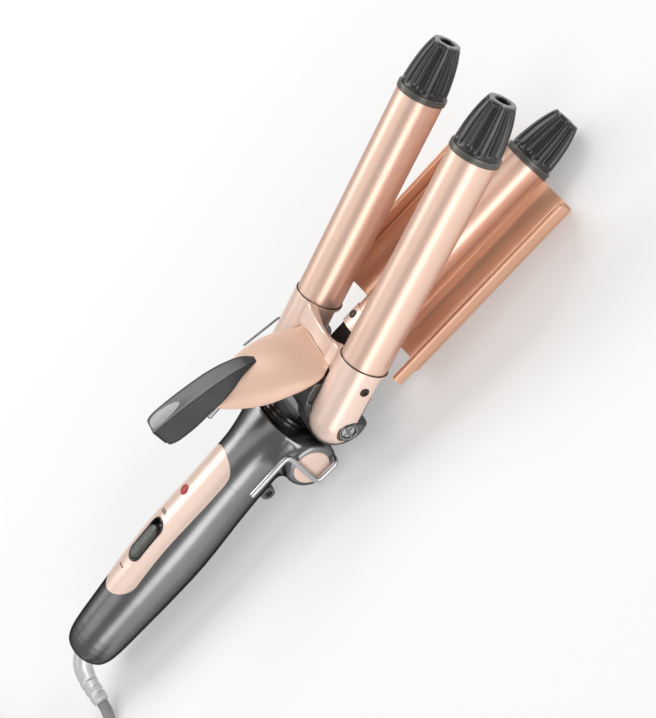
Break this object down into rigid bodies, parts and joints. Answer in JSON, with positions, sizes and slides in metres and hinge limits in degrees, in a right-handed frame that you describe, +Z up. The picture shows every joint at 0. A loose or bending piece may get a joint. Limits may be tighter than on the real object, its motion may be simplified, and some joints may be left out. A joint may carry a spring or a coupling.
{
  "type": "hair waver",
  "caption": "Hair waver with parallel round heated barrels on a sprung jaw, a troughed wave plate, a thumb lever, a slide switch, a fold-out wire stand and a mains cord.",
  "frame": {"origin": "on the surface that the tool lies on, under the middle of its length and width, measured without the cord and plug", "axes": "+X runs forward from the cord end to the barrel tips, +Y to the left and +Z up"},
  "size_m": [0.5135, 0.1534, 0.09],
  "materials": {
    "graphite": "satin",
    "black": "satin",
    "rose_gloss": "gloss",
    "barrel_coat": "gloss",
    "peach": "matte",
    "copper": "satin",
    "bright": "polished",
    "cap_ribbed": "satin",
    "collar": "satin",
    "lamp": "gloss",
    "heater": "plain",
    "board": "gloss",
    "white_plastic": "satin",
    "lead_skin": "matte",
    "steel": "satin",
    "cord_skin": "matte",
    "plug_plastic": "satin"
  },
  "bodies": {
    "handle": {"handle_upper_shell": "graphite", "handle_lower_shell": "graphite", "inset_panel": "rose_gloss", "lamp_lens": "lamp", "switch_bezel": "black", "switch_body": "black", "circuit_board": "board", "cord_clamp": "white_plastic", "wiring_harness": "lead_skin", "handle_screws": "steel", "shoulder_housing": "graphite", "left_side_cap": "rose_gloss", "right_side_cap": "rose_gloss", "centre_arm": "black", "centre_sleeve": "rose_gloss", "centre_screw": "steel", "centre_barrel": "barrel_coat", "centre_heater": "heater", "centre_collar": "collar", "centre_cap": "cap_ribbed", "wave_plate": "copper", "left_edge_rail": "copper", "right_edge_rail": "copper", "pivot_pin": "bright", "strain_relief": "cord_skin", "cord_lead": "cord_skin", "cord_coil": "cord_skin", "cord_tail": "cord_skin", "cord_tie": "plug_plastic", "plug_body": "plug_plastic", "plug_pins": "bright"},
    "jaw": {"clamp_housing": "black", "sleeve_bridge": "rose_gloss", "sleeve_screws": "steel", "dome_cover": "peach", "thumb_lever": "graphite", "left_barrel": "barrel_coat", "right_barrel": "barrel_coat", "left_heater": "heater", "right_heater": "heater", "left_collar": "collar", "right_collar": "collar", "left_cap": "cap_ribbed", "right_cap": "cap_ribbed", "left_spring": "bright", "right_spring": "bright"},
    "stand": {"stand_wire": "bright"},
    "switch": {"switch_knob": "black"}
  },
  "joints": [
    {"name": "jaw_hinge", "type": "hinge", "parent": "handle", "child": "jaw", "pos_m": [0.018, 0, 0.02215], "axis": [0, -1, 0], "range_deg": [-19.6, 20], "stiffness_Nm_per_rad": 0.35, "springref_deg": -51.57},
    {"name": "stand_fold", "type": "hinge", "parent": "handle", "child": "stand", "pos_m": [-0.00335, 0, 0.00572], "axis": [0, -1, 0], "range_deg": [0, 125]},
    {"name": "switch_slide", "type": "slide", "parent": "handle", "child": "switch", "axis": [1, 0, 0.0088], "range_m": [0, 0.004]}
  ]
}
